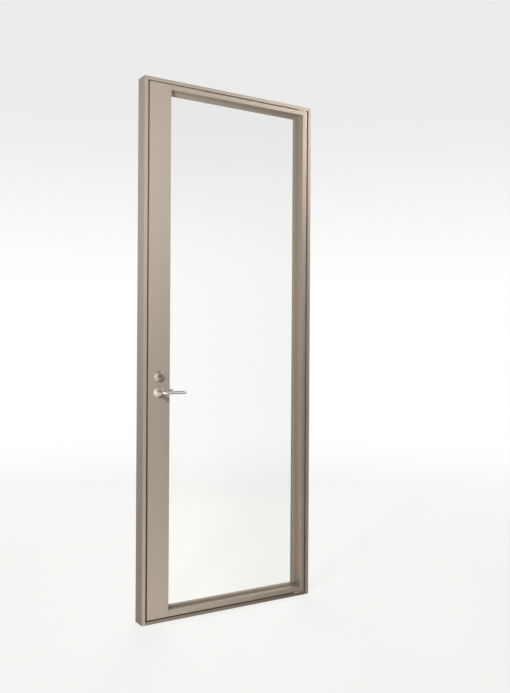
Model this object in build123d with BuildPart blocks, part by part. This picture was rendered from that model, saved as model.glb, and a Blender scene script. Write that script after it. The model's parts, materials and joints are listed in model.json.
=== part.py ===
from build123d import *
import os

# Slim aluminium door with one tall pane, closed in its frame. Millimetres.
# +X to the hinge side, +Y to the back, +Z up. The origin is on the floor, under
# the middle of the frame's width and of the leaf's thickness.

# Whole door set
frame_width = 890
frame_height = 2390
frame_depth = 70
leaf_thickness = 60

# Frame extrusions
frame_face = 16
threshold_height = 15
profile_wall = 2
edge_radius = 0.8
stop_thickness = 4
stop_cover = 10
cleat_length = 60

# Gaps round the leaf
lock_gap = 8
hinge_gap = 3.5
head_gap = 4
floor_gap = 5

# Leaf extrusions
lock_stile_face = 103
hinge_stile_face = 29.5
top_rail_face = 21
bottom_rail_face = 24
reveal_depth = 36
lip_thickness = 4
rail_lip = 12
hinge_lip = 21

# Glazing
glass_thickness = 8
glass_edge_gap = 4
front_gasket_thickness = 3
rear_gasket_thickness = 2
gasket_width = 8
bead_wall = 1.4
setting_block_length = 80
setting_block_inset = 90

# Seals on the frame's stop
seal_width = 8
seal_wall = 1.2
seal_radius = 2
seal_clearance = 0.3
hinge_seal_clearance = 1.5

# Corner pivots
pivot_inset = 10
pivot_radius = 5
pivot_length = 32
pivot_plate_length = 62
pivot_plate_width = 19
floor_plate_thickness = 3
head_plate_thickness = 2.5
collar_radius = 7.5
socket_height = 40
socket_depth = 30
pivot_screw_radius = 2.25
pivot_screw_head_radius = 4
pivot_screw_inset = 8

# Lock, set out from the leaf's lock edge and from the spindle
spindle_height = 1013
backset = 50
cylinder_rise = 70
spindle_size = 8
case_length = 75
case_thickness = 16
case_wall = 1.5
case_below = 40
case_above = 100
forend_thickness = 3
forend_width = 20
forend_length = 240
forend_screw_inset = 15
forend_block_length = 24
forend_block_depth = 14
forend_block_width = 32
lock_screw_radius = 2.5
lock_screw_head_radius = 4.5
lock_screw_length = 15

# Follower and latch bolt
follower_radius = 11
follower_journal_radius = 8
follower_arm = 19
follower_arm_width = 6
follower_arm_thickness = 6
latch_throw = 13
latch_height = 20
latch_thickness = 12
latch_base = 19
latch_head_tail = 14
latch_stem_height = 10
latch_stem_base = 24
latch_stem_thickness = 6
latch_finger_width = 5
latch_finger_base = 12.5
latch_flat = 4

# Dead bolt and cylinder
bolt_throw = 20
bolt_height = 30
bolt_below = 10
bolt_thickness = 12
bolt_head_length = 30
bolt_tail_thickness = 4
bolt_tail_base = 8
bolt_tail_end = 8
bolt_fork_depth = 9.5
bolt_fork_clearance = 0.7
cam_hub_radius = 7
cam_arm_width = 7
cam_arm_thickness = 6
cam_pin_radius = 2.5
cylinder_radius = 12.5
cylinder_proud = 1
cylinder_ring_radius = 24
cylinder_ring_height = 16
cylinder_ring_taper = 30
keyway_width = 2
keyway_height = 9
keyway_depth = 20
thumbturn_length = 34
thumbturn_width = 11
thumbturn_height = 15

# Lever handles
rose_radius = 25
rose_thickness = 13
rose_taper = 34
rose_edge = 1
thumbturn_edge = 2
rose_bolt_spacing = 34
rose_bolt_radius = 2
rose_bolt_grip = 5
neck_radius = 9.5
neck_height = 20
lever_radius = 7.5
lever_length = 115
lever_projection = 52
lever_bend = 14
lever_return = 22
lever_tip_edge = 2
spindle_socket = 28
grub_radius = 2.5

# Strike plate
strike_thickness = 2
strike_width = 24
strike_shortening = 20
strike_screw_inset = 10
strike_screw_radius = 2.25
strike_screw_head_radius = 4
strike_screw_length = 10

# Holes that fix the frame to the wall
fixing_radius = 3.25
fixing_end = 220
fixing_below_lock = 183
fixing_above_lock = 487

# Clearances
slide_clearance = 0.3
window_clearance = 0.5
running_clearance = 0.06
seat_clearance = 0.1
overrun = 1

# Planes and edges that the pieces share
front_y = -leaf_thickness / 2
back_y = leaf_thickness / 2
frame_back_y = front_y + frame_depth
stop_front_y = frame_back_y - stop_thickness
frame_left = -frame_width / 2
frame_right = frame_width / 2
jamb_left = frame_left + frame_face
jamb_right = frame_right - frame_face
head_bottom = frame_height - frame_face
leaf_left = jamb_left + lock_gap
leaf_right = jamb_right - hinge_gap
leaf_bottom = threshold_height + floor_gap
leaf_top = head_bottom - head_gap
opening_left = leaf_left + lock_stile_face
opening_right = leaf_right - hinge_stile_face
opening_bottom = leaf_bottom + bottom_rail_face
opening_top = leaf_top - top_rail_face
sight_left = opening_left + rail_lip
sight_right = opening_right - hinge_lip
sight_bottom = opening_bottom + rail_lip
sight_top = opening_top - rail_lip
lip_front_y = front_y + reveal_depth
lip_back_y = lip_front_y + lip_thickness
glass_front_y = lip_back_y + front_gasket_thickness
glass_back_y = glass_front_y + glass_thickness
bead_front_y = glass_back_y + rear_gasket_thickness
stop_left = leaf_left + stop_cover
stop_right = leaf_right - stop_cover
stop_top = leaf_top - stop_cover
stop_bottom = leaf_bottom + stop_cover
pivot_x = leaf_right - pivot_inset
pivot_y = front_y + pivot_inset
spindle_x = leaf_left + backset
spindle_z = spindle_height
cylinder_z = spindle_height + cylinder_rise
case_y = case_thickness / 2
forend_back = leaf_left + forend_thickness
forend_z = spindle_z + (case_above - case_below) / 2
strike_length = forend_length - strike_shortening


def facing(y):
    """Plane across the door at depth y: sketch in X and Z, extrude towards the front."""
    return Plane(origin=(0, y, 0), x_dir=(1, 0, 0), z_dir=(0, -1, 0))


def outline(low, high):
    """Rectangle between two corners of the sketch."""
    with Locations(((low[0] + high[0]) / 2, (low[1] + high[1]) / 2)):
        return Rectangle(high[0] - low[0], high[1] - low[1])


def hollow_outline(low, high, wall, radius):
    """Box section of an extrusion: rounded outside, square chamber inside."""
    with Locations(((low[0] + high[0]) / 2, (low[1] + high[1]) / 2)):
        RectangleRounded(high[0] - low[0], high[1] - low[1], radius)
        Rectangle(high[0] - low[0] - 2 * wall, high[1] - low[1] - 2 * wall, mode=Mode.SUBTRACT)


def upright(section_low, section_high, z_low, z_high):
    """Vertical box section with rounded edges, added to the open part."""
    with BuildSketch(Plane.XY.offset(z_low)) as section:
        hollow_outline(section_low, section_high, profile_wall, edge_radius)
    extrude(section.sketch, amount=z_high - z_low)


def rounded_at_pivot(low, high, z_low, radius):
    """Outline in the hinge stile, with its front edge at the hinge side rounded about the pivot axis."""
    pivot_corner = (high[0], low[1])
    with BuildSketch(Plane.XY.offset(z_low)) as section:
        outline(low, high)
        fillet(section.vertices().sort_by_distance(pivot_corner)[1:], edge_radius)
        fillet(section.vertices().sort_by_distance(pivot_corner)[0], radius)
    return section.sketch


def crossbar(section_low, section_high, x_low, x_high):
    """Level box section with rounded edges, added to the open part."""
    with BuildSketch(Plane.YZ.offset(x_low)) as section:
        hollow_outline(section_low, section_high, profile_wall, edge_radius)
    extrude(section.sketch, amount=x_high - x_low)


def upright_fin(section_low, section_high, z_low, z_high):
    """Solid vertical fin of an extrusion, cut back at its ends for the crossing profiles."""
    with BuildSketch(Plane.XY.offset(z_low)) as section:
        outline(section_low, section_high)
    extrude(section.sketch, amount=z_high - z_low)


def crossbar_fin(section_low, section_high, x_low, x_high):
    """Solid level fin of an extrusion, which ends at the uprights' fins."""
    with BuildSketch(Plane.YZ.offset(x_low)) as section:
        outline(section_low, section_high)
    extrude(section.sketch, amount=x_high - x_low)


def cut_across(x_low, x_high, places, radius):
    """Round holes along X, at places given in Y and Z."""
    with BuildSketch(Plane.YZ.offset(x_low)) as section:
        with Locations(*places):
            Circle(radius)
    extrude(section.sketch, amount=x_high - x_low, mode=Mode.SUBTRACT)


def cut_through(y_back, y_front, places, radius):
    """Round holes along Y, at places given in X and Z."""
    with BuildSketch(facing(y_back)) as section:
        with Locations(*places):
            Circle(radius)
    extrude(section.sketch, amount=y_back - y_front, mode=Mode.SUBTRACT)


def turned(y_base, y_face, place, radius, taper=0):
    """Round bar along Y, from its base to its face, which a taper makes smaller."""
    with BuildSketch(facing(y_base)) as section:
        with Locations(place):
            Circle(radius)
    extrude(section.sketch, amount=y_base - y_face, taper=taper)


# Places that several pieces share
fixing_heights = [
    fixing_end,
    forend_z - fixing_below_lock,
    forend_z + fixing_above_lock,
    frame_height - fixing_end,
]
fixing_places = [(0, height) for height in fixing_heights]
latch_low = spindle_z + latch_base
latch_high = latch_low + latch_height
bolt_low = cylinder_z - bolt_below
bolt_high = bolt_low + bolt_height
latch_half = latch_thickness / 2
bolt_half = bolt_thickness / 2
bolt_windows = [
    ((-latch_half, latch_low), (latch_half, latch_high)),
    ((-bolt_half, bolt_low), (bolt_half, bolt_high)),
]
forend_screw_reach = forend_length / 2 - forend_screw_inset
forend_screw_places = [(0, forend_z - forend_screw_reach), (0, forend_z + forend_screw_reach)]
strike_screw_reach = strike_length / 2 - strike_screw_inset
strike_screw_places = [(0, forend_z - strike_screw_reach), (0, forend_z + strike_screw_reach)]
rose_bolt_reach = rose_bolt_spacing / 2
rose_bolt_places = [(spindle_x - rose_bolt_reach, spindle_z), (spindle_x + rose_bolt_reach, spindle_z)]
pivot_screw_places = [
    (pivot_x - pivot_plate_length + pivot_plate_width / 2 + pivot_screw_inset, pivot_y),
    (pivot_x - pivot_plate_width / 2 - pivot_screw_inset, pivot_y),
]


def cut_bolt_windows(x_low, x_high, clearance):
    """Windows that the latch bolt and the dead bolt pass through."""
    with BuildSketch(Plane.YZ.offset(x_low)) as section:
        for low, high in bolt_windows:
            outline((low[0] - clearance, low[1] - clearance), (high[0] + clearance, high[1] + clearance))
    extrude(section.sketch, amount=x_high - x_low, mode=Mode.SUBTRACT)


# Frame: two jambs of full height, with the head and the threshold between them
with BuildPart() as lock_jamb:
    upright((frame_left, front_y), (jamb_left, frame_back_y), 0, frame_height)
    stop_root = jamb_left - profile_wall
    upright_fin((stop_root, stop_front_y), (stop_left, frame_back_y), threshold_height, head_bottom)
    cut_across(frame_left - overrun, jamb_left + overrun, fixing_places, fixing_radius)
    cut_bolt_windows(stop_root - overrun, jamb_left + overrun, window_clearance)
    cut_across(stop_root - overrun, jamb_left + overrun, strike_screw_places, strike_screw_radius)

with BuildPart() as hinge_jamb:
    upright((jamb_right, front_y), (frame_right, frame_back_y), 0, frame_height)
    stop_root = jamb_right + profile_wall
    upright_fin((stop_right, stop_front_y), (stop_root, frame_back_y), threshold_height, head_bottom)
    cut_across(jamb_right - overrun, frame_right + overrun, fixing_places, fixing_radius)

with BuildPart() as frame_head:
    crossbar((front_y, head_bottom), (frame_back_y, frame_height), jamb_left, jamb_right)
    stop_root = head_bottom + profile_wall
    crossbar_fin((stop_front_y, stop_top), (frame_back_y, stop_root), stop_left, stop_right)
    with BuildSketch(Plane.XY.offset(head_bottom - overrun)):
        with Locations(*pivot_screw_places):
            Circle(pivot_screw_radius)
    extrude(amount=profile_wall + overrun, mode=Mode.SUBTRACT)

with BuildPart() as threshold:
    crossbar((front_y, 0), (frame_back_y, threshold_height), jamb_left, jamb_right)
    stop_root = threshold_height - profile_wall
    crossbar_fin((stop_front_y, stop_root), (frame_back_y, stop_bottom), stop_left, stop_right)
    with BuildSketch(Plane.XY.offset(stop_root)):
        with Locations(*pivot_screw_places):
            Circle(pivot_screw_radius)
    extrude(amount=profile_wall + overrun, mode=Mode.SUBTRACT)

with BuildPart() as frame_corner_cleats:
    cleat_wall = profile_wall + seat_clearance
    for x_low in (jamb_left, jamb_right - cleat_length):
        for z_low, z_high in ((0, threshold_height), (head_bottom, frame_height)):
            with BuildSketch(Plane.YZ.offset(x_low)):
                outline(
                    (front_y + cleat_wall, z_low + cleat_wall),
                    (frame_back_y - cleat_wall, z_high - cleat_wall),
                )
            extrude(amount=cleat_length)


# Seals: hollow bulbs on the stop, which meet the back of the leaf
def seal_outline(bulb_depth, turned_up):
    """Bulb section with its base on the stop and its rounded front towards the leaf."""
    size = (bulb_depth, seal_width) if turned_up else (seal_width, bulb_depth)
    depth_centre = stop_front_y - bulb_depth / 2
    with Locations((depth_centre, 0) if turned_up else (0, depth_centre)):
        RectangleRounded(size[0], size[1], seal_radius)
        inner_radius = seal_radius - seal_wall
        inner_size = (size[0] - 2 * seal_wall, size[1] - 2 * seal_wall)
        RectangleRounded(*inner_size, inner_radius, mode=Mode.SUBTRACT)


seal_gap = stop_front_y - back_y
seal_inset = stop_cover / 2
seal_left = leaf_left + seal_inset
seal_right = leaf_right - seal_inset
level_seal_left = seal_left + seal_width / 2
level_seal_right = pivot_x - pivot_inset

with BuildPart() as lock_seal:
    with BuildSketch(Plane((seal_left, 0, leaf_bottom))):
        seal_outline(seal_gap - seal_clearance, False)
    extrude(amount=leaf_top - leaf_bottom)

with BuildPart() as hinge_seal:
    with BuildSketch(Plane((seal_right, 0, leaf_bottom))):
        seal_outline(seal_gap - hinge_seal_clearance, False)
    extrude(amount=leaf_top - leaf_bottom)

with BuildPart() as head_seal:
    seal_place = (level_seal_left, 0, leaf_top - seal_inset)
    with BuildSketch(Plane(seal_place, x_dir=(0, 1, 0), z_dir=(1, 0, 0))):
        seal_outline(seal_gap - seal_clearance, True)
    extrude(amount=level_seal_right - level_seal_left)

with BuildPart() as threshold_seal:
    seal_place = (level_seal_left, 0, leaf_bottom + seal_inset)
    with BuildSketch(Plane(seal_place, x_dir=(0, 1, 0), z_dir=(1, 0, 0))):
        seal_outline(seal_gap - seal_clearance, True)
    extrude(amount=level_seal_right - level_seal_left)


# Strike plate on the lock jamb, with its two countersunk screws
def screws(head_planes, shank, head, length, mode=Mode.ADD):
    """Countersunk screws along their planes' normals, with flush heads, or the holes for them."""
    for head_plane in head_planes:
        with BuildSketch(head_plane) as head_outline:
            Circle(head)
        with BuildSketch(head_plane.offset(head - shank)) as shank_outline:
            Circle(shank)
        loft([head_outline.sketch, shank_outline.sketch], mode=mode)
        extrude(shank_outline.sketch, amount=length - head + shank, mode=mode)


strike_face = jamb_left + strike_thickness
strike_screw = (strike_screw_radius, strike_screw_head_radius, strike_screw_length)
strike_screw_planes = [
    Plane((strike_face, y, z), x_dir=(0, 1, 0), z_dir=(-1, 0, 0)) for y, z in strike_screw_places
]

with BuildPart() as strike_plate:
    with BuildSketch(Plane.YZ.offset(jamb_left)):
        with Locations((0, forend_z)):
            SlotOverall(strike_length, strike_width, rotation=90)
    extrude(amount=strike_thickness)
    cut_bolt_windows(jamb_left - overrun, strike_face + overrun, window_clearance)
    screws(strike_screw_planes, *strike_screw, mode=Mode.SUBTRACT)

with BuildPart() as strike_screws:
    screws(strike_screw_planes, *strike_screw)


# Corner pivots on the threshold and the head, with the leaf's sockets on them
def pivot_plate(z_low, thickness):
    """Plate with one round end about the pivot axis."""
    with BuildSketch(Plane.XY.offset(z_low)) as section:
        with Locations((pivot_x - pivot_plate_length / 2 + pivot_plate_width / 2, pivot_y)):
            SlotOverall(pivot_plate_length, pivot_plate_width)
    extrude(section.sketch, amount=thickness)


def post(z_low, z_high, radius, mode=Mode.ADD):
    """Round post on the pivot axis."""
    with BuildSketch(Plane.XY.offset(z_low)) as section:
        with Locations((pivot_x, pivot_y)):
            Circle(radius)
    extrude(section.sketch, amount=z_high - z_low, mode=mode)


floor_plate_top = threshold_height + floor_plate_thickness
head_plate_bottom = head_bottom - head_plate_thickness
floor_screw = (pivot_screw_radius, pivot_screw_head_radius, floor_plate_thickness + profile_wall)
head_screw = (pivot_screw_radius, pivot_screw_head_radius, head_plate_thickness + profile_wall)
floor_screw_planes = [Plane((x, y, floor_plate_top), z_dir=(0, 0, -1)) for x, y in pivot_screw_places]
head_screw_planes = [Plane((x, y, head_plate_bottom), z_dir=(0, 0, 1)) for x, y in pivot_screw_places]

with BuildPart() as bottom_pivot:
    pivot_plate(threshold_height, floor_plate_thickness)
    screws(floor_screw_planes, *floor_screw, mode=Mode.SUBTRACT)
    post(floor_plate_top, leaf_bottom, collar_radius)
    post(leaf_bottom, leaf_bottom + pivot_length, pivot_radius)

with BuildPart() as top_pivot:
    pivot_plate(head_plate_bottom, head_plate_thickness)
    screws(head_screw_planes, *head_screw, mode=Mode.SUBTRACT)
    post(leaf_top - pivot_length, head_plate_bottom, pivot_radius)

with BuildPart() as pivot_screws:
    screws(floor_screw_planes, *floor_screw)
    screws(head_screw_planes, *head_screw)

socket_wall = profile_wall + seat_clearance


def pivot_socket(z_low, z_high, bore_low, bore_high):
    """Block that fills the hinge stile's end round the pivot pin."""
    low = (opening_right + socket_wall, front_y + socket_wall)
    high = (leaf_right - socket_wall, front_y + socket_depth)
    extrude(rounded_at_pivot(low, high, z_low, pivot_inset - socket_wall), amount=z_high - z_low)
    post(bore_low, bore_high, pivot_radius + running_clearance, Mode.SUBTRACT)


with BuildPart() as bottom_pivot_socket:
    bore_end = leaf_bottom + pivot_length + overrun
    pivot_socket(leaf_bottom, leaf_bottom + socket_height, leaf_bottom - overrun, bore_end)

with BuildPart() as top_pivot_socket:
    bore_end = leaf_top - pivot_length - overrun
    pivot_socket(leaf_top - socket_height, leaf_top, bore_end, leaf_top + overrun)

# Leaf: stiles of full height, with the rails between them and a glazing lip all round
neck_hole = neck_radius + window_clearance
cylinder_hole = cylinder_radius + seat_clearance
rose_bolt_hole = rose_bolt_radius + seat_clearance

with BuildPart() as lock_stile:
    upright((leaf_left, front_y), (opening_left, back_y), leaf_bottom, leaf_top)
    lip_root = opening_left - profile_wall
    upright_fin((lip_root, lip_front_y), (sight_left, lip_back_y), opening_bottom, opening_top)
    with BuildSketch(Plane.YZ.offset(leaf_left - overrun)):
        with Locations((0, forend_z)):
            SlotOverall(forend_length + 2 * seat_clearance, forend_width + 2 * seat_clearance, rotation=90)
    extrude(amount=profile_wall + 2 * overrun, mode=Mode.SUBTRACT)
    for wall_back in (front_y + profile_wall, back_y):
        cut_back = wall_back + overrun
        cut_front = wall_back - profile_wall - overrun
        cut_through(cut_back, cut_front, [(spindle_x, spindle_z)], neck_hole)
        cut_through(cut_back, cut_front, [(spindle_x, cylinder_z)], cylinder_hole)
        cut_through(cut_back, cut_front, rose_bolt_places, rose_bolt_hole)

with BuildPart() as hinge_stile:
    low = (opening_right, front_y)
    high = (leaf_right, back_y)
    extrude(rounded_at_pivot(low, high, leaf_bottom, pivot_inset), amount=leaf_top - leaf_bottom)
    low = (opening_right + profile_wall, front_y + profile_wall)
    high = (leaf_right - profile_wall, back_y - profile_wall)
    chamber = rounded_at_pivot(low, high, leaf_bottom, pivot_inset - profile_wall)
    extrude(chamber, amount=leaf_top - leaf_bottom, mode=Mode.SUBTRACT)
    lip_root = opening_right + profile_wall
    upright_fin((sight_right, lip_front_y), (lip_root, lip_back_y), opening_bottom, opening_top)

with BuildPart() as top_rail:
    crossbar((front_y, opening_top), (back_y, leaf_top), opening_left, opening_right)
    lip_root = opening_top + profile_wall
    crossbar_fin((lip_front_y, sight_top), (lip_back_y, lip_root), sight_left, sight_right)

with BuildPart() as bottom_rail:
    crossbar((front_y, leaf_bottom), (back_y, opening_bottom), opening_left, opening_right)
    lip_root = opening_bottom - profile_wall
    crossbar_fin((lip_front_y, lip_root), (lip_back_y, sight_bottom), sight_left, sight_right)

with BuildPart() as leaf_corner_cleats:
    for x_low in (opening_left, opening_right - cleat_length):
        for z_low, z_high in ((leaf_bottom, opening_bottom), (opening_top, leaf_top)):
            with BuildSketch(Plane.YZ.offset(x_low)):
                outline(
                    (front_y + cleat_wall, z_low + cleat_wall),
                    (back_y - cleat_wall, z_high - cleat_wall),
                )
            extrude(amount=cleat_length)

# Glazing: pane, gaskets, setting blocks and the beads that close the rebate at the back
with BuildPart() as glass_pane:
    with BuildSketch(facing(glass_back_y)):
        outline(
            (opening_left + glass_edge_gap, opening_bottom + glass_edge_gap),
            (opening_right - glass_edge_gap, opening_top - glass_edge_gap),
        )
    extrude(amount=glass_thickness)


def gasket_ring(y_back, thickness):
    """Flat ring behind the lip or before the beads, flush with the sight line."""
    with BuildSketch(facing(y_back)) as section:
        outline(
            (sight_left - gasket_width, sight_bottom - gasket_width),
            (sight_right + gasket_width, sight_top + gasket_width),
        )
        with Locations(((sight_left + sight_right) / 2, (sight_bottom + sight_top) / 2)):
            Rectangle(sight_right - sight_left, sight_top - sight_bottom, mode=Mode.SUBTRACT)
    extrude(section.sketch, amount=thickness)


with BuildPart() as front_gasket:
    gasket_ring(glass_front_y, front_gasket_thickness)

with BuildPart() as rear_gasket:
    gasket_ring(bead_front_y, rear_gasket_thickness)

with BuildPart() as setting_blocks:
    block_half = setting_block_length / 2
    with BuildSketch(facing(glass_back_y)):
        for block_x in (opening_left + setting_block_inset, opening_right - setting_block_inset):
            outline(
                (block_x - block_half, opening_bottom),
                (block_x + block_half, opening_bottom + glass_edge_gap),
            )
    extrude(amount=glass_thickness)


def upright_bead(x_low, x_high):
    """Hollow bead that stands against a stile."""
    with BuildSketch(Plane.XY.offset(opening_bottom)) as section:
        hollow_outline((x_low, bead_front_y), (x_high, back_y), bead_wall, edge_radius)
    extrude(section.sketch, amount=opening_top - opening_bottom)


def level_bead(z_low, z_high):
    """Hollow bead that lies against a rail, between the upright beads."""
    with BuildSketch(Plane.YZ.offset(sight_left)) as section:
        hollow_outline((bead_front_y, z_low), (back_y, z_high), bead_wall, edge_radius)
    extrude(section.sketch, amount=sight_right - sight_left)


with BuildPart() as lock_side_bead:
    upright_bead(opening_left, sight_left)

with BuildPart() as hinge_side_bead:
    upright_bead(sight_right, opening_right)

with BuildPart() as top_bead:
    level_bead(sight_top, opening_top)

with BuildPart() as bottom_bead:
    level_bead(opening_bottom, sight_bottom)

# Lock: forend, its anchor blocks and screws, and the case behind it
forend_screw = (lock_screw_radius, lock_screw_head_radius, lock_screw_length)
forend_screw_planes = [
    Plane((leaf_left, y, z), x_dir=(0, 1, 0), z_dir=(1, 0, 0)) for y, z in forend_screw_places
]

with BuildPart() as lock_forend:
    with BuildSketch(Plane.YZ.offset(leaf_left)):
        with Locations((0, forend_z)):
            SlotOverall(forend_length, forend_width, rotation=90)
    extrude(amount=forend_thickness)
    cut_bolt_windows(leaf_left - overrun, forend_back + overrun, slide_clearance)
    screws(forend_screw_planes, *forend_screw, mode=Mode.SUBTRACT)

with BuildPart() as forend_screws:
    screws(forend_screw_planes, *forend_screw)

with BuildPart() as forend_blocks:
    with BuildSketch(Plane.YZ.offset(leaf_left + profile_wall)):
        with Locations(*forend_screw_places):
            Rectangle(forend_block_width, forend_block_length)
    extrude(amount=forend_block_depth)
    with BuildSketch(Plane.YZ.offset(leaf_left)):
        with Locations((0, forend_z)):
            SlotOverall(forend_length + 2 * seat_clearance, forend_width + 2 * seat_clearance, rotation=90)
    extrude(amount=forend_thickness, mode=Mode.SUBTRACT)
    block_end = leaf_left + profile_wall + forend_block_depth
    cut_across(leaf_left, block_end + overrun, forend_screw_places, lock_screw_radius)

case_low = spindle_z - case_below
case_high = spindle_z + case_above
case_back = forend_back + case_length
journal_hole = follower_journal_radius + running_clearance
cam_hole = cam_hub_radius + running_clearance


def case_holes(y_back, y_front):
    """Bearing holes and clearance holes through one side of the case."""
    cut_through(y_back, y_front, [(spindle_x, spindle_z)], journal_hole)
    cut_through(y_back, y_front, [(spindle_x, cylinder_z)], cam_hole)
    cut_through(y_back, y_front, rose_bolt_places, rose_bolt_hole)


with BuildPart() as lock_case:
    with BuildSketch(facing(case_y)):
        outline((forend_back, case_low), (case_back, case_high))
    extrude(amount=case_thickness - case_wall)
    with BuildSketch(facing(case_y - case_wall)):
        outline(
            (forend_back + case_wall, case_low + case_wall),
            (case_back - case_wall, case_high - case_wall),
        )
    extrude(amount=case_thickness, mode=Mode.SUBTRACT)
    cut_bolt_windows(forend_back - overrun, forend_back + case_wall + overrun, slide_clearance)
    case_holes(case_y + overrun, case_y - case_wall - overrun)

with BuildPart() as lock_case_cover:
    with BuildSketch(facing(case_wall - case_y)):
        outline((forend_back, case_low), (case_back, case_high))
    extrude(amount=case_wall)
    case_holes(case_wall - case_y + overrun, -case_y - overrun)

# Follower on the spindle, and the latch bolt that its arm draws back
case_inside = case_y - case_wall - slide_clearance
spindle_hole = spindle_size + 2 * seat_clearance

with BuildPart() as follower:
    turned(case_inside, -case_inside, (spindle_x, spindle_z), follower_radius)
    turned(case_y, -case_y, (spindle_x, spindle_z), follower_journal_radius)
    with BuildSketch(facing(follower_arm_thickness / 2)):
        with Locations((spindle_x, spindle_z + follower_arm / 2)):
            SlotCenterToCenter(follower_arm, follower_arm_width, rotation=90)
    extrude(amount=follower_arm_thickness)
    with BuildSketch(facing(case_y + overrun)):
        with Locations((spindle_x, spindle_z)):
            Rectangle(spindle_hole, spindle_hole)
    extrude(amount=case_thickness + 2 * overrun, mode=Mode.SUBTRACT)

latch_tip = leaf_left - latch_throw
finger_x = spindle_x + follower_arm_width / 2 + slide_clearance

with BuildPart() as latch_bolt:
    with BuildSketch(Plane.XY.offset(latch_low)):
        with BuildLine():
            Polyline(
                (latch_tip, -latch_half),
                (leaf_left + latch_head_tail, -latch_half),
                (leaf_left + latch_head_tail, latch_half),
                (leaf_left, latch_half),
                (latch_tip, latch_flat - latch_half),
                close=True,
            )
        make_face()
    extrude(amount=latch_height)
    with BuildSketch(facing(latch_stem_thickness / 2)):
        stem_low = spindle_z + latch_stem_base
        finger_end = finger_x + latch_finger_width
        outline((leaf_left + latch_head_tail, stem_low), (finger_end, stem_low + latch_stem_height))
        outline((finger_x, spindle_z + latch_finger_base), (finger_end, stem_low))
    extrude(amount=latch_stem_thickness)

# Dead bolt, and the cam whose pin works in its fork
fork_offset = bolt_throw / 2
fork_x = spindle_x + fork_offset
fork_z = cylinder_z + fork_offset
cam_arm = bolt_throw / 2 ** 0.5
tail_front_y = bolt_half - bolt_tail_thickness
fork_half = cam_pin_radius + bolt_fork_clearance

with BuildPart() as dead_bolt:
    with BuildSketch(facing(bolt_half)):
        outline((leaf_left, bolt_low), (leaf_left + bolt_head_length, bolt_high))
    extrude(amount=bolt_thickness)
    with BuildSketch(facing(bolt_half)):
        tail_low = cylinder_z + bolt_tail_base
        outline((leaf_left + bolt_head_length, tail_low), (fork_x + bolt_tail_end, bolt_high))
        with Locations((fork_x, tail_low + bolt_fork_depth / 2)):
            Rectangle(2 * fork_half, bolt_fork_depth, mode=Mode.SUBTRACT)
    extrude(amount=bolt_tail_thickness)

cam_arm_back = tail_front_y - slide_clearance

with BuildPart() as cylinder_cam:
    turned(case_y, -case_y, (spindle_x, cylinder_z), cam_hub_radius)
    with BuildSketch(facing(cam_arm_back)):
        with Locations((spindle_x + fork_offset / 2, cylinder_z + fork_offset / 2)):
            SlotCenterToCenter(cam_arm, cam_arm_width, rotation=45)
    extrude(amount=cam_arm_thickness)
    turned(bolt_half - slide_clearance, cam_arm_back, (fork_x, fork_z), cam_pin_radius)

# Cylinder with its ring at the front, thumbturn with its rose at the back
ring_front_y = front_y - cylinder_ring_height
cylinder_front_y = ring_front_y - cylinder_proud
plug_hole = cam_hub_radius + running_clearance

with BuildPart() as cylinder_ring:
    cylinder_place = (spindle_x, cylinder_z)
    turned(front_y, ring_front_y, cylinder_place, cylinder_ring_radius, cylinder_ring_taper)
    cut_through(front_y + overrun, ring_front_y - overrun, [cylinder_place], cylinder_hole)

with BuildPart() as cylinder_body:
    turned(-case_y, cylinder_front_y, (spindle_x, cylinder_z), cylinder_radius)
    cut_through(-case_y + overrun, cylinder_front_y - overrun, [(spindle_x, cylinder_z)], plug_hole)

with BuildPart() as cylinder_plug:
    turned(-case_y, cylinder_front_y, (spindle_x, cylinder_z), cam_hub_radius)
    with BuildSketch(facing(cylinder_front_y + keyway_depth)):
        with Locations((spindle_x, cylinder_z)):
            Rectangle(keyway_width, keyway_height)
    extrude(amount=keyway_depth + overrun, mode=Mode.SUBTRACT)

thumb_rose_y = back_y + rose_thickness

with BuildPart() as thumbturn_rose:
    turned(back_y, thumb_rose_y, (spindle_x, cylinder_z), cylinder_ring_radius, rose_taper)
    fillet(thumbturn_rose.faces().sort_by(Axis.Y)[-1].edges(), rose_edge)
    cut_through(thumb_rose_y + overrun, back_y - overrun, [(spindle_x, cylinder_z)], plug_hole)

with BuildPart() as thumbturn:
    turned(thumb_rose_y + slide_clearance, case_y, (spindle_x, cylinder_z), cam_hub_radius)
    with BuildSketch(facing(thumb_rose_y + slide_clearance + thumbturn_height)):
        with Locations((spindle_x, cylinder_z)):
            SlotOverall(thumbturn_length, thumbturn_width, rotation=90)
    extrude(amount=thumbturn_height)
    fillet(thumbturn.faces().sort_by(Axis.Y)[-1].edges(), thumbturn_edge)

# Roses and their through bolts
rose_front_y = front_y - rose_thickness
neck_bearing = neck_radius + slide_clearance

with BuildPart() as front_rose:
    turned(front_y, rose_front_y, (spindle_x, spindle_z), rose_radius, rose_taper)
    fillet(front_rose.faces().sort_by(Axis.Y)[0].edges(), rose_edge)
    cut_through(front_y + overrun, rose_front_y - overrun, [(spindle_x, spindle_z)], neck_bearing)
    cut_through(front_y + overrun, front_y - rose_bolt_grip, rose_bolt_places, rose_bolt_hole)

with BuildPart() as back_rose:
    mirror(front_rose.part, about=Plane.XZ)

with BuildPart() as rose_bolts:
    for bolt_place in rose_bolt_places:
        turned(back_y + rose_bolt_grip, front_y - rose_bolt_grip, bolt_place, rose_bolt_radius)

# Levers: a round bar bent out of the neck, along the door and back at its end
grip_y = front_y - lever_projection
lever_end_x = spindle_x + lever_length - lever_radius
neck_base_y = front_y - slide_clearance
neck_front_y = rose_front_y - neck_height + rose_thickness
lever_tip = (lever_end_x, grip_y + lever_return)
socket_y = neck_base_y - spindle_socket
grub_y = (rose_front_y + neck_front_y) / 2

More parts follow.
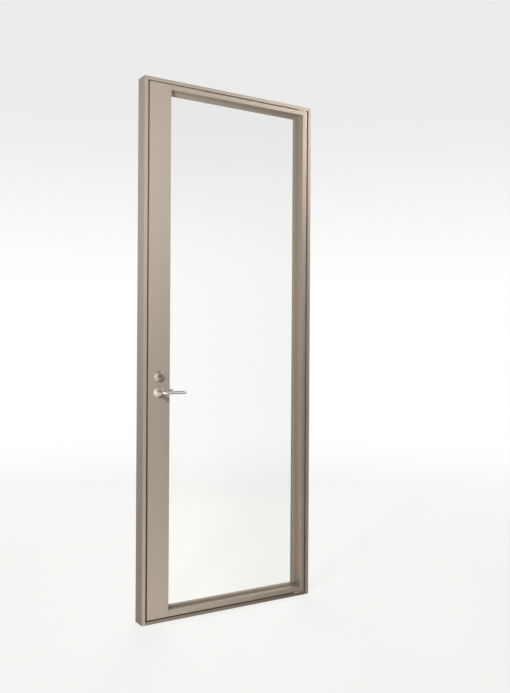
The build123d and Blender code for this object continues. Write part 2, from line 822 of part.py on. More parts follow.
with BuildPart() as front_lever:
    with BuildLine(Plane.XY.offset(spindle_z)) as lever_path:
        FilletPolyline(
            (spindle_x, neck_base_y),
            (spindle_x, grip_y),
            (lever_end_x, grip_y),
            lever_tip,
            radius=lever_bend,
        )
    with BuildSketch(Plane(origin=lever_path.line @ 0, z_dir=lever_path.line % 0)):
        Circle(lever_radius)
    sweep(path=lever_path.line)
    tip_face = front_lever.faces().sort_by_distance((lever_tip[0], lever_tip[1], spindle_z))[0]
    fillet(tip_face.edges(), lever_tip_edge)
    turned(neck_base_y, neck_front_y, (spindle_x, spindle_z), neck_radius)
    with BuildSketch(facing(neck_base_y)):
        with Locations((spindle_x, spindle_z)):
            Rectangle(spindle_hole, spindle_hole)
    extrude(amount=spindle_socket, mode=Mode.SUBTRACT)
    with BuildSketch(Plane.XY.offset(spindle_z - neck_radius - overrun)):
        with Locations((spindle_x, grub_y)):
            Circle(grub_radius)
    extrude(amount=neck_radius + overrun, mode=Mode.SUBTRACT)

with BuildPart() as back_lever:
    mirror(front_lever.part, about=Plane.XZ)

with BuildPart() as spindle:
    with BuildSketch(facing(-socket_y - overrun)):
        with Locations((spindle_x, spindle_z)):
            Rectangle(spindle_size, spindle_size)
    extrude(amount=2 * (-socket_y - overrun))

with BuildPart() as grub_screws:
    with BuildSketch(Plane.XY.offset(spindle_z - neck_radius)):
        with Locations((spindle_x, grub_y), (spindle_x, -grub_y)):
            Circle(grub_radius)
    extrude(amount=neck_radius - spindle_size / 2)

pieces = {
    "lock_jamb": lock_jamb,
    "hinge_jamb": hinge_jamb,
    "frame_head": frame_head,
    "threshold": threshold,
    "frame_corner_cleats": frame_corner_cleats,
    "lock_seal": lock_seal,
    "hinge_seal": hinge_seal,
    "head_seal": head_seal,
    "threshold_seal": threshold_seal,
    "strike_plate": strike_plate,
    "strike_screws": strike_screws,
    "bottom_pivot": bottom_pivot,
    "top_pivot": top_pivot,
    "pivot_screws": pivot_screws,
    "bottom_pivot_socket": bottom_pivot_socket,
    "top_pivot_socket": top_pivot_socket,
    "lock_stile": lock_stile,
    "hinge_stile": hinge_stile,
    "top_rail": top_rail,
    "bottom_rail": bottom_rail,
    "leaf_corner_cleats": leaf_corner_cleats,
    "glass_pane": glass_pane,
    "front_gasket": front_gasket,
    "rear_gasket": rear_gasket,
    "setting_blocks": setting_blocks,
    "lock_side_bead": lock_side_bead,
    "hinge_side_bead": hinge_side_bead,
    "top_bead": top_bead,
    "bottom_bead": bottom_bead,
    "lock_forend": lock_forend,
    "forend_screws": forend_screws,
    "forend_blocks": forend_blocks,
    "lock_case": lock_case,
    "lock_case_cover": lock_case_cover,
    "follower": follower,
    "latch_bolt": latch_bolt,
    "dead_bolt": dead_bolt,
    "cylinder_cam": cylinder_cam,
    "cylinder_ring": cylinder_ring,
    "cylinder_body": cylinder_body,
    "cylinder_plug": cylinder_plug,
    "thumbturn_rose": thumbturn_rose,
    "thumbturn": thumbturn,
    "front_rose": front_rose,
    "back_rose": back_rose,
    "rose_bolts": rose_bolts,
    "front_lever": front_lever,
    "back_lever": back_lever,
    "spindle": spindle,
    "grub_screws": grub_screws,
}

os.makedirs("parts", exist_ok=True)
for piece_name, piece in pieces.items():
    piece.part.label = piece_name
    export_step(piece.part, "parts/" + piece_name + ".step")
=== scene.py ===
import json
import math

import bpy
from mathutils import Matrix, Vector


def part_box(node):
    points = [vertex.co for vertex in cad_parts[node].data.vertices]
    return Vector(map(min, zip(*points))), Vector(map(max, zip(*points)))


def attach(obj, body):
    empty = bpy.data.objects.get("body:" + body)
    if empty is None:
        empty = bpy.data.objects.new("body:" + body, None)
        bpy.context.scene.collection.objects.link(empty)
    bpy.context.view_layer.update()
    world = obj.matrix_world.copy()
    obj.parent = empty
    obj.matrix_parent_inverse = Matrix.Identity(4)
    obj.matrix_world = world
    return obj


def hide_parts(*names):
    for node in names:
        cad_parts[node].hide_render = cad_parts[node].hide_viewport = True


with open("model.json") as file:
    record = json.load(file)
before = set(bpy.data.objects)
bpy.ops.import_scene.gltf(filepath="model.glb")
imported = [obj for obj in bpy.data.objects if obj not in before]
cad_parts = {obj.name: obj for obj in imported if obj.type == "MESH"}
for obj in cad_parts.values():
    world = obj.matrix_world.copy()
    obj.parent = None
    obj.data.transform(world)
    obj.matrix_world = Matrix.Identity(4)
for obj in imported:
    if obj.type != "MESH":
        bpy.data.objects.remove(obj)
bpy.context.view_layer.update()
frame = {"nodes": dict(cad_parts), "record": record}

# Sizes are in metres, and those that end in MM in millimetres
MM = 0.001

# Camera at the front left of the door, level, at chest height
CAMERA_PLACE = (-1.8853, -3.2085, 1.2159)
CAMERA_YAW = math.radians(32.33)
CAMERA_ROLL = math.radians(0.34)
CAMERA_LENS_MM = 41.44
SENSOR_MM = 36

# Soft box, up and to the left of the door's front
KEY_AIM = Vector((-0.1, 0, 1.6))
KEY_PLACE = Vector((-1.574, -1.289, 2.013))
KEY_SIZE = 0.2
KEY_WATTS = 29
BOX_SPREAD = math.radians(150)

# Larger and softer one behind the door, for its other face
DOOR_MIDDLE = Vector((0, 0, 1.2))
REAR_PLACE = Vector((1.2, 2.4, 2.6))
REAR_SIZE = 1.5
REAR_WATTS = 60

# Screws: radii of the shanks, thickness of the pivots' plates, and shares of each screw's own sizes
STRIKE_SHANK = 2.25 * MM
FOREND_SHANK = 2.5 * MM
PIVOT_SHANK = 2.25 * MM
FLOOR_PLATE = 3 * MM
HEAD_PLATE = 2.5 * MM
ROUND_STEPS = 32
HEXAGON_STEPS = 6
RIM_SHARE = 0.2
TIP_SHARE = 0.4
BEVEL_SHARE = 0.16
HEXAGON_SHARE = 0.58
CROSS_SHARE = 1.6
BLADE_SHARE = 0.22
BLADE_TIP_SHARE = 0.25
FLAT_LIMIT = 0.9
SMOOTH_ANGLE = math.radians(30)
REST_TURN = math.radians(37)
FACING_UP = Matrix.Identity(4)
FACING_DOWN = Matrix.Rotation(math.pi, 4, "X")
FACING_RIGHT = Matrix.Rotation(math.pi / 2, 4, "Y")
FACING_LEFT = Matrix.Rotation(-math.pi / 2, 4, "Y")

# Finishes: widths of their patterns
DIE_LINE_MM = 4
TONE_DRIFT_MM = 260
ROLLER_WAVE_MM = 300
BLOOM_MM = 12
TURNING_LINE_MM = 0.8
GRINDING_LINE_MM = 1.5
MOTTLE_MM = 6
SAW_MARK_MM = 1.2
MOULD_GRAIN_MM = 1

# Finishes: how far a pattern is drawn out along each axis
ALONG_X = (400, 1, 1)
ALONG_Z = (1, 1, 400)
GROUND_ALONG_LEVER = (8, 8, 1)
GROUND_ALONG_Z = (1, 1, 40)
SAWN_ALONG_Z = (1, 1, 12)

# Finishes: roughness, or its lowest and highest value, and relief as strength and depth
ANODISED_ROUGHNESS = (0.27, 0.31)
RUBBER_ROUGHNESS = (0.55, 0.75)
STEEL_ROUGHNESS = (0.2, 0.32)
ZINC_ROUGHNESS = (0.28, 0.45)
MILL_ROUGHNESS = 0.4
POLYAMIDE_ROUGHNESS = 0.5
DIE_LINE_RELIEF = (0.04, 0.02 * MM)
ROLLER_WAVE_RELIEF = (0.05, 0.2 * MM)
STEEL_RELIEF = (0.06, 0.02 * MM)
MOULD_RELIEF = (0.2, 0.05 * MM)
ANODISED_METAL_SHARE = 0.38
GLASS_IOR = 1.52

# Finishes: tones
CHAMPAGNE = ("#B8AB9B", "#BAAD9E", "#B7AB9E")
# Threshold: a bronze tone darker than the door's, partly painted shade standing in for the shade under the
# leaf
BRONZE_WITH_PAINTED_SHADE = ("#8A7E72", "#94887B", "#8E8378")
GLASS_TINT = "#FDFEFD"
DARK_RUBBER = ("#5C554D", "#6A635B")
PALE_RUBBER = ("#B3ABA2", "#BEB7AF")
STAINLESS = ("#C7C3BD", "#D8D5D0")
NICKEL = ("#8F8679", "#A59C8F")
ZINC = ("#A8A9A6", "#C2C4C3")
MILL = ("#C4C4C2", "#DADAD8")
POLYAMIDE = ("#222222", "#2E2E2D")

# Studio: floor, backdrop and soft light
FLOOR_SIZE = 14
FLOOR_FADE_START = 1.5
FLOOR_PAINT = "#F4F2EF"
FLOOR_PALE = "#FCFBF9"
FLOOR_LIFT = 0.85
BACKDROP_LOW = "#FFFFFF"
BACKDROP_HIGH = "#ECECEC"
FILL = "#4C4C4C"

# The studio as metal mirrors it. Pale screens stand at the left and at the right behind the door, a row of
# lamps hangs at the upper right, the ground at the left is pale, and the corner below the lamps is unlit.
UNLIT_TURN = math.radians(31)
STUDIO_WAYS = {
    "right": (math.cos(UNLIT_TURN), math.sin(UNLIT_TURN), 0),
    "to_screen": Vector((-0.95, -0.25, 0.3)).normalized(),
    "to_rear_screen": Vector((0.75, 0.55, 0.35)).normalized(),
}

# Parts of the studio by the way one looks, each with where its soft edge starts and where it is full
STUDIO_EDGES = {
    "raised": ("up", 0.05, 0.3),
    "front": ("back", 0.2, -0.3),
    "right": ("right", -0.07, 0.07),
    "not_right": ("right", 0.07, -0.07),
    "far_right": ("right", 0.02, 0.14),
    "low": ("up", 0.24, 0.04),
    "high": ("up_in_metal", 0.15, 0.27),
    "below_ceiling": ("up", 0.44, 0.34),
    "floorward": ("up", -0.08, -0.32),
    "screen": ("to_screen", 0.6, 0.85),
    "rear_screen": ("to_rear_screen", 0.6, 0.9),
}
STUDIO_CORNERS = {
    "unlit": ("front", "right", "low"),
    "lamps": ("front", "far_right", "high", "below_ceiling"),
    "ground": ("front", "not_right", "floorward"),
}
BACK_WALL = "#A29F9B"
FRONT_WALL = "#C2BFBB"
UNLIT_CORNER = "#2A2624"
PATCH_GAINS = {"screen": 1.7, "rear_screen": 2.6, "lamps": 14, "ground": 3.2}


# Materials

def linear(hex_colour):
    """sRGB hex colour as linear red, green, blue and alpha."""
    parts = [int(hex_colour[i:i + 2], 16) / 255 for i in (1, 3, 5)]
    return [c / 12.92 if c <= 0.04045 else ((c + 0.055) / 1.055) ** 2.4 for c in parts] + [1]


def node(tree, kind, sockets=None, **settings):
    """Adds a node. Settings are its properties; sockets are input values, or the outputs that feed them."""
    made = tree.nodes.new(kind)
    for name, value in settings.items():
        setattr(made, name, value)
    for name, value in (sockets or {}).items():
        if isinstance(value, bpy.types.NodeSocket):
            tree.links.new(value, made.inputs[name])
        else:
            made.inputs[name].default_value = value
    return made


def new_material(name):
    """New material with no nodes yet, and its node tree."""
    material = bpy.data.materials.new(name)
    material.use_nodes = True
    material.node_tree.nodes.clear()
    return material, material.node_tree


def grain(tree, size_mm, stretch=(1, 1, 1), detail=2):
    """Noise on object coordinates, with grains of the given size, drawn out along an axis."""
    place = node(tree, "ShaderNodeTexCoord").outputs["Object"]
    scale = [1 / (size_mm * MM * s) for s in stretch]
    mapped = node(tree, "ShaderNodeMapping", {"Vector": place, "Scale": scale}).outputs["Vector"]
    return node(tree, "ShaderNodeTexNoise", {"Vector": mapped, "Scale": 1, "Detail": detail}).outputs["Fac"]


def anodised_aluminium(name, stretch, shades):
    """Anodised aluminium: extruded, etched matt and coloured by the anodising bath. The eye sees a warm satin
    metal with slow shifts of tone along its length and faint die lines, drawn coarser than real ones."""
    material, tree = new_material(name)
    lines = grain(tree, DIE_LINE_MM, stretch, 3)
    drift = grain(tree, TONE_DRIFT_MM, detail=1)
    tone = node(tree, "ShaderNodeMix", {"Factor": lines, "A": linear(shades[0]), "B": linear(shades[1])},
                data_type="RGBA")
    shifted = node(tree, "ShaderNodeMix", {
        "Factor": drift, "A": tone.outputs["Result"], "B": linear(shades[2])}, data_type="RGBA")
    smooth, dull = ANODISED_ROUGHNESS
    rough = node(tree, "ShaderNodeMapRange", {"Value": lines, "To Min": smooth, "To Max": dull})
    strength, depth = DIE_LINE_RELIEF
    bump = node(tree, "ShaderNodeBump", {"Height": lines, "Strength": strength, "Distance": depth})
    shader = node(tree, "ShaderNodeBsdfPrincipled", {
        "Base Color": shifted.outputs["Result"], "Metallic": ANODISED_METAL_SHARE,
        "Roughness": rough.outputs["Result"], "Normal": bump.outputs["Normal"]})
    node(tree, "ShaderNodeOutputMaterial", {"Surface": shader.outputs["BSDF"]})
    return material


def toughened_glass():
    """Clear toughened float glass: nearly colourless, with a breath of green, and flat but for the slow
    roller wave that the toughening furnace leaves in its reflections."""
    material, tree = new_material("toughened_glass")
    wave = grain(tree, ROLLER_WAVE_MM, detail=0)
    strength, depth = ROLLER_WAVE_RELIEF
    bump = node(tree, "ShaderNodeBump", {"Height": wave, "Strength": strength, "Distance": depth})
    shader = node(tree, "ShaderNodeBsdfPrincipled", {
        "Base Color": linear(GLASS_TINT), "Roughness": 0, "IOR": GLASS_IOR, "Transmission Weight": 1,
        "Normal": bump.outputs["Normal"]})
    # Lamp light passes straight through, so that the beads behind the pane are lit as the lip before it is.
    clear = node(tree, "ShaderNodeBsdfTransparent")
    lamp_ray = node(tree, "ShaderNodeLightPath").outputs["Is Shadow Ray"]
    pane = node(tree, "ShaderNodeMixShader", {
        0: lamp_ray, 1: shader.outputs["BSDF"], 2: clear.outputs["BSDF"]})
    node(tree, "ShaderNodeOutputMaterial", {"Surface": pane.outputs["Shader"]})
    return material


def epdm_rubber(name, shades):
    """Extruded EPDM: dull, with a faint bloom that lifts its tone in patches."""
    material, tree = new_material(name)
    bloom = grain(tree, BLOOM_MM, detail=4)
    tone = node(tree, "ShaderNodeMix", {"Factor": bloom, "A": linear(shades[0]), "B": linear(shades[1])},
                data_type="RGBA")
    smooth, dull = RUBBER_ROUGHNESS
    rough = node(tree, "ShaderNodeMapRange", {"Value": bloom, "To Min": smooth, "To Max": dull})
    shader = node(tree, "ShaderNodeBsdfPrincipled", {
        "Base Color": tone.outputs["Result"], "Roughness": rough.outputs["Result"]})
    node(tree, "ShaderNodeOutputMaterial", {"Surface": shader.outputs["BSDF"]})
    return material


def turning_lines(tree, pitch_mm, axis):
    """Fine rings about an axis along Y, as a lathe tool leaves them."""
    place = node(tree, "ShaderNodeTexCoord").outputs["Object"]
    off_axis = node(tree, "ShaderNodeVectorMath", {0: place, 1: axis}, operation="SUBTRACT")
    flat = node(tree, "ShaderNodeVectorMath", {0: off_axis.outputs["Vector"], 1: (1, 0, 1)},
                operation="MULTIPLY")
    radius = node(tree, "ShaderNodeVectorMath", {0: flat.outputs["Vector"]}, operation="LENGTH")
    turns = node(tree, "ShaderNodeMath", {0: radius.outputs["Value"], 1: 1 / (pitch_mm * MM)},
                 operation="MULTIPLY")
    rings = node(tree, "ShaderNodeTexNoise", {"W": turns.outputs["Value"], "Scale": 1, "Detail": 2},
                 noise_dimensions="1D")
    return rings.outputs["Fac"]


def satin_metal(name, shades, stretch=None, axis=None):
    """Satin steel or nickel: ground on a belt along its length, or turned about an axis. It is bright, with
    fine lines, drawn coarser than real ones, that blur its reflections."""
    material, tree = new_material(name)
    lines = turning_lines(tree, TURNING_LINE_MM, axis) if axis else grain(tree, GRINDING_LINE_MM, stretch, 3)
    tone = node(tree, "ShaderNodeMix", {"Factor": lines, "A": linear(shades[0]), "B": linear(shades[1])},
                data_type="RGBA")
    smooth, dull = STEEL_ROUGHNESS
    rough = node(tree, "ShaderNodeMapRange", {"Value": lines, "To Min": smooth, "To Max": dull})
    strength, depth = STEEL_RELIEF
    bump = node(tree, "ShaderNodeBump", {"Height": lines, "Strength": strength, "Distance": depth})
    shader = node(tree, "ShaderNodeBsdfPrincipled", {
        "Base Color": tone.outputs["Result"], "Metallic": 1, "Roughness": rough.outputs["Result"],
        "Normal": bump.outputs["Normal"]})
    node(tree, "ShaderNodeOutputMaterial", {"Surface": shader.outputs["BSDF"]})
    return material


def zinc_plated_steel():
    """Zinc plated steel: pressed or turned, then plated, a cool grey metal with a mottled bright film."""
    material, tree = new_material("zinc_plated_steel")
    mottle = grain(tree, MOTTLE_MM, detail=4)
    tone = node(tree, "ShaderNodeMix", {"Factor": mottle, "A": linear(ZINC[0]), "B": linear(ZINC[1])},
                data_type="RGBA")
    smooth, dull = ZINC_ROUGHNESS
    rough = node(tree, "ShaderNodeMapRange", {"Value": mottle, "To Min": smooth, "To Max": dull})
    shader = node(tree, "ShaderNodeBsdfPrincipled", {
        "Base Color": tone.outputs["Result"], "Metallic": 1, "Roughness": rough.outputs["Result"]})
    node(tree, "ShaderNodeOutputMaterial", {"Surface": shader.outputs["BSDF"]})
    return material


def mill_aluminium():
    """Mill finish aluminium: sawn cleats, pale bare metal with saw marks on them."""
    material, tree = new_material("mill_aluminium")
    marks = grain(tree, SAW_MARK_MM, SAWN_ALONG_Z)
    tone = node(tree, "ShaderNodeMix", {"Factor": marks, "A": linear(MILL[0]), "B": linear(MILL[1])},
                data_type="RGBA")
    shader = node(tree, "ShaderNodeBsdfPrincipled", {
        "Base Color": tone.outputs["Result"], "Metallic": 1, "Roughness": MILL_ROUGHNESS})
    node(tree, "ShaderNodeOutputMaterial", {"Surface": shader.outputs["BSDF"]})
    return material


def moulded_polyamide():
    """Black polyamide: injection moulded with a fine spark-eroded grain, drawn coarser than the real one, so
    it shines only softly."""
    material, tree = new_material("moulded_polyamide")
    texture = grain(tree, MOULD_GRAIN_MM, detail=3)
    tone = node(tree, "ShaderNodeMix", {
        "Factor": texture, "A": linear(POLYAMIDE[0]), "B": linear(POLYAMIDE[1])}, data_type="RGBA")
    strength, depth = MOULD_RELIEF
    bump = node(tree, "ShaderNodeBump", {"Height": texture, "Strength": strength, "Distance": depth})
    shader = node(tree, "ShaderNodeBsdfPrincipled", {
        "Base Color": tone.outputs["Result"], "Roughness": POLYAMIDE_ROUGHNESS,
        "Normal": bump.outputs["Normal"]})
    node(tree, "ShaderNodeOutputMaterial", {"Surface": shader.outputs["BSDF"]})
    return material


# Finishes on the CAD nodes

def middle(name):
    """Middle of a CAD node's box."""
    low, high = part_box(name)
    return (low + high) / 2


def dress(names, material):
    """Gives CAD nodes their finish."""
    for name in names:
        for place in frame["nodes"][name].material_slots:
            place.material = material


slot_of = {part["node"]: part["material_slot"] for part in frame["record"]["subparts"]}
finishes = {
    "aluminium": anodised_aluminium("champagne_anodised_upright", ALONG_Z, CHAMPAGNE),
    # The threshold's darker bronze is partly painted shade, for the shade under the leaf
    "bronze_aluminium": anodised_aluminium("bronze_anodised_with_painted_shade", ALONG_X, BRONZE_WITH_PAINTED_SHADE),
    "mill_aluminium": mill_aluminium(),
    "glass": toughened_glass(),
    "rubber": epdm_rubber("dark_grey_epdm", DARK_RUBBER),
    "grey_rubber": epdm_rubber("pale_grey_epdm", PALE_RUBBER),
    "satin_steel": satin_metal("belt_ground_stainless", STAINLESS, GROUND_ALONG_LEVER),
    "zinc_steel": zinc_plated_steel(),
    "polyamide": moulded_polyamide(),
}
for slot_name, finish in finishes.items():
    dress([name for name in slot_of if slot_of[name] == slot_name], finish)

# Pieces whose grain runs another way than their slot's
dress(["frame_head", "top_rail", "bottom_rail", "top_bead", "bottom_bead"],
      anodised_aluminium("champagne_anodised_level", ALONG_X, CHAMPAGNE))
dress(["strike_plate", "lock_forend", "thumbturn"],
      satin_metal("upright_ground_stainless", STAINLESS, GROUND_ALONG_Z))
spindle_axis = middle("spindle")
cylinder_axis = middle("cylinder_body")
dress(["front_rose", "back_rose"], satin_metal("turned_stainless_rose", STAINLESS, axis=spindle_axis))
dress(["cylinder_ring", "thumbturn_rose"],
      satin_metal("turned_stainless_ring", STAINLESS, axis=cylinder_axis))
dress(["cylinder_body", "cylinder_plug"], satin_metal("nickel_plated_brass", NICKEL, axis=cylinder_axis))


# Screws

def pick_faces(piece, wanted):
    """Selects the faces that pass the test, in edit mode."""
    bpy.ops.object.mode_set(mode="EDIT")
    bpy.ops.mesh.select_mode(type="FACE")
    bpy.ops.mesh.select_all(action="DESELECT")
    bpy.ops.object.mode_set(mode="OBJECT")
    for face in piece.data.polygons:
        face.select = wanted(face)
    bpy.ops.object.mode_set(mode="EDIT")


def upward(face):
    return face.normal.z > FLAT_LIMIT


def downward(face):
    return face.normal.z < -FLAT_LIMIT


def press_recess(screw, tool):
    """Sinks the driver's recess into a screw and takes the tool away."""
    cut = screw.modifiers.new("recess", "BOOLEAN")
    cut.object = tool
    cut.solver = "EXACT"
    cut.use_self = True
    bpy.ops.object.select_all(action="DESELECT")
    bpy.context.view_layer.objects.active = screw
    screw.select_set(True)
    bpy.ops.object.modifier_apply(modifier=cut.name)
    bpy.data.objects.remove(tool)
    bpy.ops.object.shade_smooth_by_angle(angle=SMOOTH_ANGLE)


def cross_tool(width, depth):
    """Two tapered blades that cross, as the tip of a screwdriver."""
    bpy.ops.object.select_all(action="DESELECT")
    bpy.ops.mesh.primitive_cube_add(size=1)
    tool = bpy.context.object
    bpy.ops.object.mode_set(mode="EDIT")
    bpy.ops.transform.resize(value=(width, width * BLADE_SHARE, 2 * depth))
    pick_faces(tool, downward)
    bpy.ops.transform.resize(value=(BLADE_TIP_SHARE, 1, 1))
    bpy.ops.mesh.select_all(action="SELECT")
    bpy.ops.mesh.duplicate()
    bpy.ops.transform.rotate(value=math.pi / 2, orient_axis="Z", center_override=(0, 0, 0))
    bpy.ops.object.mode_set(mode="OBJECT")
    return tool


def countersunk_screw(head, shank, length):
    """Countersunk screw along Z, its head's face at the origin, with a cross recess and a blunt tip."""
    cone = head - shank
    rim = cone * RIM_SHARE
    face = head - rim
    tip = shank * TIP_SHARE
    bpy.ops.object.select_all(action="DESELECT")
    bpy.ops.mesh.primitive_cylinder_add(
        vertices=ROUND_STEPS, radius=shank, depth=length - cone - tip,
        location=(0, 0, (tip - length - cone) / 2))
    screw = bpy.context.object
    bpy.ops.object.transform_apply(location=True)
    pick_faces(screw, upward)
    bpy.ops.mesh.extrude_region_move(TRANSFORM_OT_translate={"value": (0, 0, cone - rim)})
    bpy.ops.transform.resize(value=(head / shank, head / shank, 1))
    bpy.ops.mesh.extrude_region_move(TRANSFORM_OT_translate={"value": (0, 0, rim)})
    bpy.ops.transform.resize(value=(face / head, face / head, 1))
    pick_faces(screw, downward)
    bpy.ops.mesh.extrude_region_move(TRANSFORM_OT_translate={"value": (0, 0, -tip)})
    bpy.ops.transform.resize(value=(TIP_SHARE, TIP_SHARE, 1))
    bpy.ops.object.mode_set(mode="OBJECT")
    press_recess(screw, cross_tool(head * CROSS_SHARE, cone))
    return screw


def hexagon_tool(radius, length):
    """Hexagon key with a blunt point, half of it below the origin."""
    bpy.ops.object.select_all(action="DESELECT")
    bpy.ops.mesh.primitive_cylinder_add(vertices=HEXAGON_STEPS, radius=radius * HEXAGON_SHARE, depth=length)
    tool = bpy.context.object
    pick_faces(tool, downward)
    bpy.ops.mesh.extrude_region_move(TRANSFORM_OT_translate={"value": (0, 0, -radius * TIP_SHARE / 2)})
    bpy.ops.transform.resize(value=(TIP_SHARE, TIP_SHARE, 1))
    bpy.ops.object.mode_set(mode="OBJECT")
    return tool


def grub_screw(radius, length):
    """Headless screw along Z, its driven end at the origin, with bevelled ends and a hexagon socket."""
    tool = hexagon_tool(radius, length)
    bpy.ops.object.select_all(action="DESELECT")
    bpy.ops.mesh.primitive_cylinder_add(
        vertices=ROUND_STEPS, radius=radius, depth=length, location=(0, 0, -length / 2))
    screw = bpy.context.object
    bpy.ops.object.transform_apply(location=True)
    pick_faces(screw, lambda face: upward(face) or downward(face))
    bpy.ops.mesh.bevel(offset=radius * BEVEL_SHARE, segments=1, affect="EDGES")
    bpy.ops.object.mode_set(mode="OBJECT")
    press_recess(screw, tool)
    return screw


def drive(model, node_name, places, turn, first=1):
    """Copies a screw to its places. The heads came to rest at different turns."""
    bodies = frame["record"]["behaviour"]["bodies"]
    body = next(name for name, members in bodies.items() if node_name in members)
    for number, place in enumerate(places, first):
        bpy.ops.object.select_all(action="DESELECT")
        bpy.context.view_layer.objects.active = model
        model.select_set(True)
        bpy.ops.object.duplicate()
        screw = bpy.context.object
        screw.name = f"{node_name[:-1]}_{number}"
        spin = Matrix.Rotation(number * REST_TURN, 4, "Z")
        screw.matrix_world = Matrix.Translation(place) @ turn @ spin
        bpy.ops.object.transform_apply(location=True, rotation=True, scale=True)
        screw.data.materials.append(finishes[slot_of[node_name]])
        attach(screw, body)
        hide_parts(node_name)
    bpy.data.objects.remove(model)


def edge_screws(node_name, shank, turn, face_x):
    """The two screws of a lock plate, one near each end."""
    low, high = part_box(node_name)
    head = (high.y - low.y) / 2
    places = [Vector((face_x, (low.y + high.y) / 2, z)) for z in (low.z + head, high.z - head)]
    drive(countersunk_screw(head, shank, high.x - low.x), node_name, places, turn)


def pivot_plate_screws():
    """The pivots' screws, two down into the threshold and two up into the head."""
    low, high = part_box("pivot_screws")
    head = (high.y - low.y) / 2
    y = (low.y + high.y) / 2
    floor_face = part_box("bottom_pivot")[0].z + FLOOR_PLATE
    head_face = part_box("top_pivot")[1].z - HEAD_PLATE
    ends = (low.x + head, high.x - head)
    drive(countersunk_screw(head, PIVOT_SHANK, floor_face - low.z), "pivot_screws",
          [Vector((x, y, floor_face)) for x in ends], FACING_UP)
    drive(countersunk_screw(head, PIVOT_SHANK, high.z - head_face), "pivot_screws",
          [Vector((x, y, head_face)) for x in ends], FACING_DOWN, first=3)


def lever_grub_screws():
    """One screw under each lever's neck."""
    low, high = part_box("grub_screws")
    radius = (high.x - low.x) / 2
    places = [Vector((low.x + radius, y, low.z)) for y in (low.y + radius, high.y - radius)]
    drive(grub_screw(radius, high.z - low.z), "grub_screws", places, FACING_DOWN)


edge_screws("strike_screws", STRIKE_SHANK, FACING_RIGHT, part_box("strike_screws")[1].x)
edge_screws("forend_screws", FOREND_SHANK, FACING_LEFT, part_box("forend_screws")[0].x)
pivot_plate_screws()
lever_grub_screws()


# Studio

def studio_floor():
    """Pale floor that keeps the door's shadow and fades into the backdrop's white."""
    bpy.ops.object.select_all(action="DESELECT")
    bpy.ops.mesh.primitive_plane_add(size=FLOOR_SIZE)
    floor = bpy.context.object
    floor.name = "floor"
    material, tree = new_material("painted_floor")
    place = node(tree, "ShaderNodeTexCoord").outputs["Object"]
    reach = node(tree, "ShaderNodeVectorMath", {0: place}, operation="LENGTH").outputs["Value"]
    fade = node(tree, "ShaderNodeMapRange", {
        "Value": reach, "From Min": FLOOR_FADE_START, "From Max": FLOOR_SIZE / 2})
    paint = node(tree, "ShaderNodeBsdfDiffuse", {"Color": linear(FLOOR_PAINT)})
    pale = node(tree, "ShaderNodeEmission", {"Color": linear(FLOOR_PALE), "Strength": 1})
    path = node(tree, "ShaderNodeLightPath").outputs
    direct = node(tree, "ShaderNodeMath", {0: path["Is Camera Ray"], 1: path["Is Transmission Ray"]},
                  operation="MAXIMUM")
    lift = node(tree, "ShaderNodeMath", {0: direct.outputs["Value"], 1: FLOOR_LIFT}, operation="MULTIPLY")
    lifted = node(tree, "ShaderNodeMixShader", {
        0: lift.outputs["Value"], 1: paint.outputs["BSDF"], 2: pale.outputs["Emission"]})
    clear = node(tree, "ShaderNodeBsdfTransparent")
    mixed = node(tree, "ShaderNodeMixShader", {
        0: fade.outputs["Result"], 1: lifted.outputs["Shader"], 2: clear.outputs["BSDF"]})
    node(tree, "ShaderNodeOutputMaterial", {"Surface": mixed.outputs["Shader"]})
    floor.data.materials.append(material)
    floor.visible_glossy = False


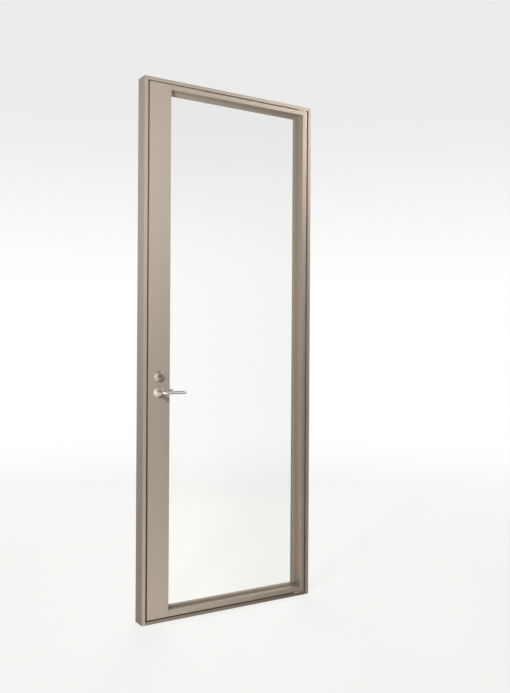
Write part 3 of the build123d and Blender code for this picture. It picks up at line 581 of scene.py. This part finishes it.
def studio_world():
    """White backdrop for what is seen directly or through the glass, a studio with one unlit corner for what
    metal mirrors, and an even soft light for the rest."""
    world = bpy.data.worlds.new("studio")
    world.use_nodes = True
    tree = world.node_tree
    tree.nodes.clear()
    way = node(tree, "ShaderNodeTexCoord").outputs["Generated"]
    parts = node(tree, "ShaderNodeSeparateXYZ", {"Vector": way}).outputs
    path = node(tree, "ShaderNodeLightPath").outputs

    # How far a look goes each way. The sharp mirror of the pane leaves the lamps out.
    look = {"up": parts["Z"], "back": parts["Y"]}
    look["up_in_metal"] = node(tree, "ShaderNodeMath", {0: parts["Z"], 1: path["Is Singular Ray"]},
                               operation="SUBTRACT").outputs["Value"]
    for name, direction in STUDIO_WAYS.items():
        look[name] = node(tree, "ShaderNodeVectorMath", {0: way, 1: direction},
                          operation="DOT_PRODUCT").outputs["Value"]
    share = {}
    for name, (heading, edge, full) in STUDIO_EDGES.items():
        share[name] = node(tree, "ShaderNodeMapRange", {
            "Value": look[heading], "From Min": edge, "From Max": full},
            interpolation_type="SMOOTHSTEP").outputs["Result"]
    for name, bounds in STUDIO_CORNERS.items():
        share[name] = share[bounds[0]]
        for bound in bounds[1:]:
            share[name] = node(tree, "ShaderNodeMath", {0: share[name], 1: share[bound]},
                               operation="MULTIPLY").outputs["Value"]

    # What metal mirrors: the room, its unlit corner and its bright patches
    lit = node(tree, "ShaderNodeMix", {
        "Factor": share["front"], "A": linear(BACK_WALL), "B": linear(FRONT_WALL)}, data_type="RGBA")
    mirrored = node(tree, "ShaderNodeMix", {
        "Factor": share["unlit"], "A": lit.outputs["Result"], "B": linear(UNLIT_CORNER)}, data_type="RGBA")
    strength = 1
    for name, gain in PATCH_GAINS.items():
        strength = node(tree, "ShaderNodeMath", {0: share[name], 1: gain, 2: strength},
                        operation="MULTIPLY_ADD").outputs["Value"]
    # A ray through the glass counts as glossy too, but not as mirrored.
    in_mirror = node(tree, "ShaderNodeMath", {0: path["Is Glossy Ray"], 1: path["Glossy Depth"]},
                     operation="MULTIPLY").outputs["Value"]
    power = node(tree, "ShaderNodeMapRange", {"Value": in_mirror, "To Min": 1, "To Max": strength})

    # What is seen directly, in metal and by matt surfaces
    backdrop = node(tree, "ShaderNodeMix", {
        "Factor": share["raised"], "A": linear(BACKDROP_LOW), "B": linear(BACKDROP_HIGH)}, data_type="RGBA")
    seen = node(tree, "ShaderNodeMix", {
        "Factor": path["Glossy Depth"], "A": backdrop.outputs["Result"], "B": mirrored.outputs["Result"]},
        data_type="RGBA")
    lighting = node(tree, "ShaderNodeMix", {
        "Factor": path["Diffuse Depth"], "A": seen.outputs["Result"], "B": linear(FILL)}, data_type="RGBA")
    background = node(tree, "ShaderNodeBackground", {
        "Color": lighting.outputs["Result"], "Strength": power.outputs["Result"]})
    node(tree, "ShaderNodeOutputWorld", {"Surface": background.outputs["Background"]})
    bpy.context.scene.world = world


def soft_box(name, place, aim, size, watts):
    """Square soft box with a grid. Metal shows the studio's own bright sides instead of it."""
    lamp = bpy.data.lights.new(name, "AREA")
    lamp.size = size
    lamp.energy = watts
    lamp.spread = BOX_SPREAD
    holder = bpy.data.objects.new(name, lamp)
    holder.location = place
    holder.rotation_euler = (aim - place).to_track_quat("-Z", "Y").to_euler()
    holder.visible_camera = False
    holder.visible_glossy = False
    holder.visible_transmission = False
    bpy.context.scene.collection.objects.link(holder)


def photo_camera():
    """Camera at the photograph's viewing angle."""
    lens = bpy.data.cameras.new("camera")
    lens.lens = CAMERA_LENS_MM
    lens.sensor_width = SENSOR_MM
    lens.sensor_fit = "AUTO"
    camera = bpy.data.objects.new("camera", lens)
    camera.location = CAMERA_PLACE
    camera.rotation_euler = (math.pi / 2, 0, -CAMERA_YAW)
    camera.rotation_euler.rotate_axis("Z", CAMERA_ROLL)
    bpy.context.scene.collection.objects.link(camera)
    bpy.context.scene.camera = camera


studio_floor()
studio_world()
soft_box("front_soft_box", KEY_PLACE, KEY_AIM, KEY_SIZE, KEY_WATTS)
soft_box("rear_soft_box", REAR_PLACE, DOOR_MIDDLE, REAR_SIZE, REAR_WATTS)
photo_camera()
bpy.context.scene.view_settings.view_transform = "Standard"
